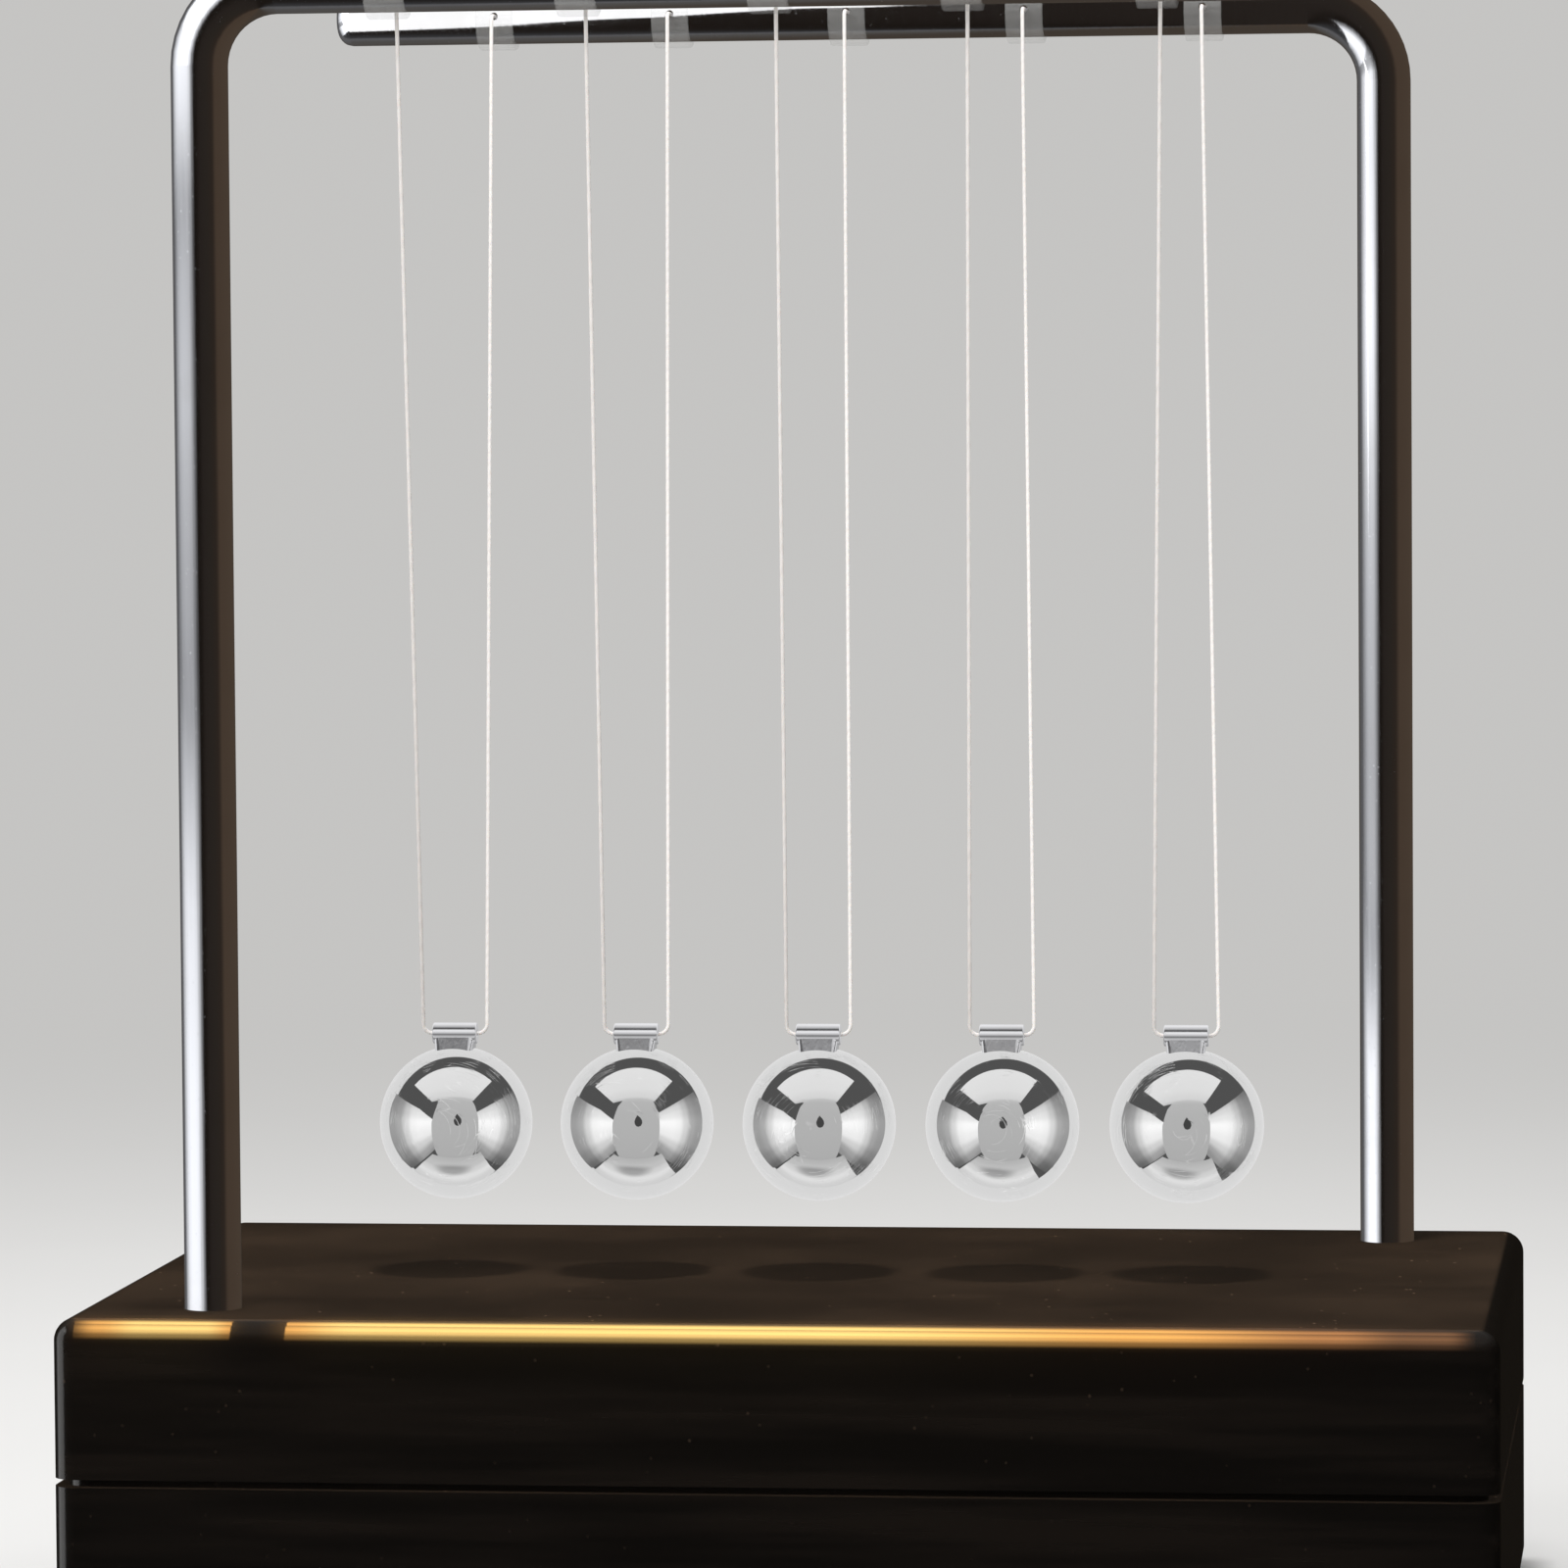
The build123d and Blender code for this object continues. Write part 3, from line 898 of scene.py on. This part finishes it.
@dataclass
class Studio:
    """The pale floor, the plain soft light, and the panels that show in the polish."""

    cradle: Cradle
    view: View
    backdrop: Colour = (0.56, 0.555, 0.545)
    floor_colour: Colour = (0.72, 0.715, 0.705)
    floor_radius: float = 30.0
    plain_level: float = 0.6
    overhead_power: float = 8.0
    overhead_side: float = 0.13
    key_power: float = 7.2
    key_side: float = 0.7
    rod_diameter: float = 7.2 * MM
    edge_rounding: float = 2.8 * MM
    tent_height: float = 0.13
    tent_radius: float = 0.72
    window_lean_deg: float = 50.3
    window_half_length: float = 110 * MM
    window_half_width: float = 100 * MM
    window_light: float = 1.25
    glow_reach: float = 11 * MM
    glow_light: float = 7.0
    glow_spread_deg: float = 80.0
    glow_break_start: float = -0.4 * MM
    glow_break_end: float = 6.6 * MM
    glow_end_inset: float = 3 * MM

    def axes(self) -> tuple[Vector, Vector, Vector]:
        """Ahead, towards the camera from the balls, then right and up as the camera sees them."""
        ahead = (self.view.place() - self.cradle.row_centre()).normalized()
        right = Vector((0, 0, 1)).cross(ahead).normalized()
        return ahead, right, ahead.cross(right)

    def world(self) -> None:
        """Pale for the camera, metal and glass, and plain for matt surfaces."""
        made = bpy.data.worlds.new("pale_world")
        bpy.context.scene.world = made
        made.use_nodes = True
        tree = Tree(made.node_tree)
        path = tree.node("ShaderNodeLightPath")
        seen = Value(tree, path.outputs["Is Camera Ray"])
        for name in ("Is Glossy Ray", "Is Transmission Ray"):
            seen = seen + Value(tree, path.outputs[name])
        plain = (self.plain_level,) * 3
        colour = tree.mix(seen.above(0.5), plain, self.backdrop)
        shine = tree.node("ShaderNodeBackground", None, {"Color": colour})
        tree.node("ShaderNodeOutputWorld", None, {"Surface": shine.outputs[0]})

    def floor(self) -> None:
        """A wide pale floor that fades into the backdrop away from the cradle."""
        mesh = bpy.data.meshes.new("floor")
        disc = bmesh.new()
        bmesh.ops.create_circle(disc, cap_ends=True, segments=96, radius=self.floor_radius)
        disc.to_mesh(mesh)
        disc.free()
        made = bpy.data.materials.new("floor")
        made.use_nodes = True
        tree = Tree(made.node_tree)
        away = tree.node("ShaderNodeVectorMath", {"operation": "LENGTH"}, {0: tree.place()})
        far = Value(tree, away.outputs["Value"]).ramp(0.2, 1.0)
        mottle = tree.noise(tree.place(), 9.0, 3.0).ramp(0.3, 0.7, 0.985, 1.0)
        paint = tree.node(
            "ShaderNodeBsdfDiffuse",
            None,
            {"Color": tree.mix(mottle, (0.0, 0.0, 0.0), self.floor_colour)},
        )
        distant = tree.node("ShaderNodeEmission", None, {"Color": (*self.backdrop, 1.0)})
        blend = tree.node(
            "ShaderNodeMixShader", None, {0: far, 1: paint.outputs[0], 2: distant.outputs[0]}
        )
        tree.node("ShaderNodeOutputMaterial", None, {"Surface": blend.outputs[0]})
        mesh.materials.append(made)
        piece = bpy.data.objects.new("floor", mesh)
        piece.visible_glossy = False
        bpy.context.scene.collection.objects.link(piece)

    @staticmethod
    def lamp(name: str, place: Vector, aim: Vector, side: float, power: float) -> None:
        """Puts up one soft square lamp, which doesn't show in the polish.

        Args:
            name: The lamp's name.
            place: Where it stands.
            aim: What it points at.
            side: The length of its sides.
            power: Its power in watts.
        """
        data = bpy.data.lights.new(name, "AREA")
        data.shape = "SQUARE"
        data.size = side
        data.energy = power
        made = bpy.data.objects.new(name, data)
        made.location = place
        made.rotation_euler = (aim - place).to_track_quat("-Z", "Y").to_euler()
        made.visible_glossy = False
        bpy.context.scene.collection.objects.link(made)

    def lamps(self) -> None:
        """A soft lamp overhead and a soft key lamp at the front left."""
        low = Vector((0, 0, 0.05))
        self.lamp(
            "overhead", Vector((0.02, -0.06, 1.2)), low, self.overhead_side, self.overhead_power
        )
        self.lamp("key", Vector((-0.45, -1.1, 0.55)), low, self.key_side, self.key_power)

    def ball_tent(self) -> None:
        """The light tent that shows in the balls."""
        ahead, right, up = self.axes()
        centre = self.cradle.row_centre()
        lit = Receivers("ball_parts", self.cradle.balls)

        def spot(forward: float, side: float, rise: float) -> Vector:
            """A point by its distance ahead of, beside and above the middle ball."""
            return centre + ahead * forward + right * side + up * rise

        side_across = (
            (0.0, 0.35),
            (0.117, 0.36),
            (0.235, 0.43),
            (0.338, 0.71),
            (0.44, 0.95),
            (0.55, 1.0),
            (1.0, 1.0),
        )
        side_up = (
            (0.0, 0.28),
            (0.165, 0.30),
            (0.288, 0.38),
            (0.436, 0.66),
            (0.55, 0.88),
            (0.731, 1.0),
            (0.84, 0.82),
            (0.906, 0.72),
            (1.0, 0.50),
        )
        panels = (
            Panel(
                "front_panel",
                spot(0.8, -0.035, -0.41),
                right * 0.63,
                up * 1.03,
                (0.52, 0.52, 0.52),
                up_stops=((0.0, 0.88), (0.25, 0.97), (0.75, 1.02), (0.93, 1.06), (1.0, 1.2)),
                outline=(
                    (-0.468, 0.981),
                    (-0.689, 0.806),
                    (-0.897, 0.398),
                    (-0.952, 0.01),
                    (-0.992, -0.563),
                    (-0.944, -0.845),
                    (-0.802, -1.0),
                    (-0.024, -0.932),
                    (0.786, -0.981),
                    (0.929, -0.845),
                    (0.981, -0.534),
                    (0.952, 0.01),
                    (0.913, 0.495),
                    (0.811, 0.806),
                    (0.69, 0.981),
                    (0.135, 1.0),
                ),
            ),
            Panel(
                "lens_hole",
                spot(0.78, 0.02, 0.045),
                right * 0.085,
                up * 0.125,
                (0.065, 0.065, 0.065),
                outline=(
                    (0.0, -1.0),
                    (0.6, -0.85),
                    (0.95, -0.4),
                    (0.9, 0.1),
                    (0.45, 0.55),
                    (-0.15, 1.0),
                    (-0.6, 0.5),
                    (-0.95, -0.1),
                    (-0.85, -0.55),
                    (-0.5, -0.9),
                ),
            ),
            Panel(
                "ceiling_panel",
                spot(0.63, -0.155, 0.9),
                right * 0.90,
                ahead * 0.657,
                (0.90, 0.90, 0.90),
                up_stops=((0.0, 1.0), (0.45, 0.97), (0.8, 0.88), (1.0, 0.70)),
            ),
            Panel(
                "left_panel",
                spot(0.53, -1.0, -0.49),
                ahead * 1.07,
                up * 1.06,
                (1.15, 1.15, 1.15),
                across_stops=side_across,
                up_stops=side_up,
                outline=((-1.0, -0.428), (1.0, -0.811), (1.0, 0.54), (0.1, 0.80), (-1.0, 0.886)),
            ),
            Panel(
                "right_panel",
                spot(0.53, 1.0, -0.49),
                ahead * 1.07,
                up * 1.06,
                (1.15, 1.15, 1.15),
                across_stops=side_across,
                up_stops=side_up,
                outline=((-1.0, -0.554), (1.0, -1.0), (1.0, 0.89), (-1.0, 0.996)),
            ),
            Panel(
                "sweep_panel",
                spot(0.06, -0.08, -0.85),
                right * 0.74,
                ahead * 0.52,
                (0.90, 0.90, 0.90),
                up_stops=(
                    (0.0, 0.78),
                    (0.2, 0.84),
                    (0.4, 0.98),
                    (0.55, 0.84),
                    (0.7, 0.70),
                    (1.0, 0.60),
                ),
                dip=0.42,
                dip_place=(0.484, 0.615),
                dip_reach=(0.30, 0.20),
                outline=(
                    (-0.784, 1.0),
                    (-0.919, 0.077),
                    (-1.0, -1.0),
                    (-0.432, -0.808),
                    (0.108, -0.731),
                    (0.93, -0.923),
                    (0.92, -0.192),
                    (1.0, 1.0),
                ),
            ),
        )
        for panel in panels:
            panel.build(lit)
        dark, pale = (0.095, 0.095, 0.095), (0.80, 0.80, 0.80)
        Surround(
            "ball_surround",
            centre,
            2.6,
            (ahead + right * 0.084 + up * 0.063).normalized(),
            right,
            Sweep.AWAY,
            ((0, dark), (112.6, dark), (114.2, pale), (180, pale)),
        ).build(lit)

    def bail_tent(self) -> None:
        """The level bands that show in the bails' tubes."""
        ahead, _, up = self.axes()
        tones = (
            (-180, 0.42),
            (-122, 0.38),
            (-104, 0.56),
            (-89, 0.64),
            (-75, 0.34),
            (-63, 0.24),
            (-51, 0.52),
            (-40, 0.76),
            (-29, 0.52),
            (-18, 0.20),
            (-8, 0.34),
            (2, 0.62),
            (12, 0.80),
            (24, 0.98),
            (34, 1.0),
            (41, 0.60),
            (46, 0.12),
            (58, 0.12),
            (66, 0.34),
            (80, 0.64),
            (98, 0.82),
            (116, 1.0),
            (142, 0.95),
            (180, 0.60),
        )
        Surround(
            "bail_surround",
            self.cradle.row_centre(),
            0.70,
            ahead,
            up,
            Sweep.AROUND,
            tuple((degrees, (tone, tone, tone * 1.01)) for degrees, tone in tones),
            see_through=True,
        ).build(Receivers("bail_parts", self.cradle.bails))

    def rod_strip(
        self, name: str, rod: Group, lean: float, distance: float, up_stops: Stops
    ) -> None:
        """A long soft light to the left of one rod.

        Args:
            name: The strip's name.
            rod: The rod that it lights.
            lean: How far it leans in over the rod, in degrees.
            distance: How far away it stands.
            up_stops: How its light changes from its low end to its high end.
        """
        ahead, right, _ = self.axes()
        flat_ahead = Vector((ahead.x, ahead.y, 0)).normalized()
        rise = Vector((0, 0, 1))
        turn, side = math.radians(lean), math.radians(70)
        beside = rise * math.sin(turn) - right * math.cos(turn)
        out = flat_ahead * math.cos(side) + beside * math.sin(side)
        back = beside * math.cos(side) - flat_ahead * math.sin(side)
        Panel(
            name,
            Vector((0, 0, self.tent_height)) + out * distance + back * 0.18,
            back * 0.80,
            (rise * math.cos(turn) + right * math.sin(turn)) * 0.6,
            (1.47, 1.5, 1.56),
            across_stops=(
                (0.0, 0.0),
                (0.105, 0.2),
                (0.18, 0.55),
                (0.266, 0.92),
                (0.335, 1.0),
                (0.454, 1.0),
                (0.562, 0.88),
                (0.681, 0.58),
                (0.776, 0.36),
                (0.9, 0.16),
                (1.0, 0.0),
            ),
            up_stops=up_stops,
            see_through=True,
        ).build(Receivers(f"{name}_parts", rod))

    def rod_tent(self) -> None:
        """The panels that show in the rods."""
        front_stops = (
            (0.0, 0.8),
            (0.41, 0.8),
            (0.426, 0.74),
            (0.4425, 0.70),
            (0.46, 0.46),
            (0.4765, 0.22),
            (0.493, 0.31),
            (0.51, 0.36),
            (0.526, 0.46),
            (0.543, 0.41),
            (0.56, 0.27),
            (0.573, 0.70),
            (0.584, 0.9),
            (1.0, 0.9),
        )
        back_stops = (
            (0.0, 0.9),
            (0.395, 0.9),
            (0.408, 0.50),
            (0.418, 0.25),
            (0.436, 0.37),
            (0.455, 0.33),
            (0.472, 0.37),
            (0.49, 0.40),
            (0.508, 0.48),
            (0.525, 0.74),
            (0.543, 0.88),
            (0.575, 0.72),
            (0.59, 0.9),
            (1.0, 0.9),
        )
        self.rod_strip("front_rod_strip", self.cradle.front_rod, 0.0, 0.60, front_stops)
        self.rod_strip("back_rod_strip", self.cradle.back_rod, 0.0, 0.62, back_stops)
        roof_stops = ((0.0, 0.0), (0.04, 0.0), (0.12, 0.9), (1.0, 0.9))
        self.rod_strip("front_rod_roof", self.cradle.front_rod, 62.0, 0.58, roof_stops)
        lit = Receivers(
            "rod_parts", self.cradle.front_rod, self.cradle.back_rod, self.cradle.fasteners
        )
        ahead, right, _ = self.axes()
        Surround(
            "rod_surround",
            Vector((0, 0, self.tent_height)),
            self.tent_radius,
            Vector((ahead.x, ahead.y, 0)).normalized(),
            -right,
            Sweep.AROUND,
            (
                (-180, (0.060, 0.048, 0.038)),
                (-140, (0.076, 0.054, 0.038)),
                (-66, (0.072, 0.050, 0.035)),
                (-44, (0.030, 0.022, 0.017)),
                (-20, (0.026, 0.021, 0.017)),
                (2, (0.024, 0.019, 0.016)),
                (20, (0.013, 0.010, 0.008)),
                (100, (0.040, 0.040, 0.042)),
                (135, (0.12, 0.12, 0.125)),
                (165, (0.09, 0.085, 0.080)),
                (180, (0.060, 0.048, 0.038)),
            ),
            see_through=True,
        ).build(lit)
        self.rail_window()

    def rail_window(self) -> None:
        """A slanting lamp between the rails, which gives the back rail its long highlight."""
        low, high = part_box("back_rod")
        rail = high.z - (high.y - low.y) / 2
        between = (low.y + high.y) / 2 - 47 * MM
        lean = math.radians(self.window_lean_deg)
        along = Vector((math.cos(lean), 0, math.sin(lean))) * self.window_half_length
        over = Vector((-math.sin(lean), 0, math.cos(lean))) * self.window_half_width
        start = Vector((low.x - 17 * MM, between, rail - 75 * MM))
        PolishLamp(
            "rail_window", start + along + over, along, over, self.window_light
        ).build(Receivers("back_rod_parts", self.cradle.back_rod))

    def base_glow(self) -> None:
        """A warm light along the base's front edge, broken beside the post, and a dim surround."""
        lit = Receivers("base_parts", self.cradle.wood, self.cradle.feet, self.cradle.cover)
        low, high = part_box("base_slab")
        post_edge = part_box("front_rod")[0].x + self.rod_diameter
        hub = Vector((0, low.y + self.edge_rounding, high.z - self.edge_rounding))
        yellow, orange = (1.0, 0.65, 0.205), (0.78, 0.38, 0.095)
        dim, ember, none = (0.36, 0.155, 0.052), (0.15, 0.068, 0.028), (0.0, 0.0, 0.0)
        runs = (
            (
                "warm_left",
                low.x,
                post_edge + self.glow_break_start,
                ((0.0, none), (0.2, orange), (0.45, yellow), (0.85, yellow), (1.0, orange)),
            ),
            (
                "warm_right",
                post_edge + self.glow_break_end,
                high.x - self.glow_end_inset,
                (
                    (0.0, orange),
                    (0.06, yellow),
                    (0.45, yellow),
                    (0.72, orange),
                    (0.88, dim),
                    (0.94, ember),
                    (0.975, ember),
                    (1.0, none),
                ),
            ),
        )
        arcs = ((8, 34, 0.0, 0.30), (34, 58, 0.30, 1.0), (58, 90, 1.0, 0.72), (90, 126, 0.72, 0.10))
        reach = self.glow_reach
        for name, start, end, colours in runs:
            for number, (first, second, dull, bright) in enumerate(arcs):
                middle = math.radians((first + second) / 2)
                half = math.radians(second - first) / 2
                out = Vector((0, -math.cos(middle), math.sin(middle)))
                PolishLamp(
                    f"{name}_{number}",
                    hub + out * reach * math.cos(half) + Vector(((start + end) / 2, 0, 0)),
                    Vector(((end - start) / 2, 0, 0)),
                    Vector((0, math.sin(middle), math.cos(middle))) * reach * math.sin(half),
                    self.glow_light,
                    colours,
                    ((0.0, dull), (1.0, bright)),
                    self.glow_spread_deg,
                ).build(lit)
        Panel(
            "left_sheen",
            Vector((-0.62, -0.1, 0.1)),
            Vector((0, 0.30, 0)),
            Vector((0, 0, 0.5)),
            (1.5, 1.5, 1.5),
            across_stops=((0.0, 0.0), (0.3, 1.0), (0.7, 1.0), (1.0, 0.0)),
            see_through=True,
        ).build(lit)
        Surround(
            "base_surround",
            Vector((0, 0, 0.1)),
            self.tent_radius,
            Vector((0, 0, 1)),
            Vector((1, 0, 0)),
            Sweep.AWAY,
            (
                (0, (0.30, 0.29, 0.28)),
                (40, (0.24, 0.23, 0.22)),
                (72, (0.05, 0.045, 0.04)),
                (84, (0.010, 0.008, 0.006)),
                (180, (0.008, 0.007, 0.006)),
            ),
            see_through=True,
        ).build(lit)

    def build(self) -> None:
        """Sets up the whole studio."""
        self.world()
        self.floor()
        self.lamps()
        self.ball_tent()
        self.bail_tent()
        self.rod_tent()
        self.base_glow()
        LOG.info("studio ready")


def main() -> None:
    """Builds the scene in order."""
    logging.basicConfig(level=logging.INFO, format="%(name)s: %(message)s")
    bpy.context.scene.view_settings.view_transform = "Standard"
    view = View()
    view.build()
    cradle = Cradle()
    cradle.build()
    Studio(cradle, view).build()


if __name__ == "__main__":
    main()
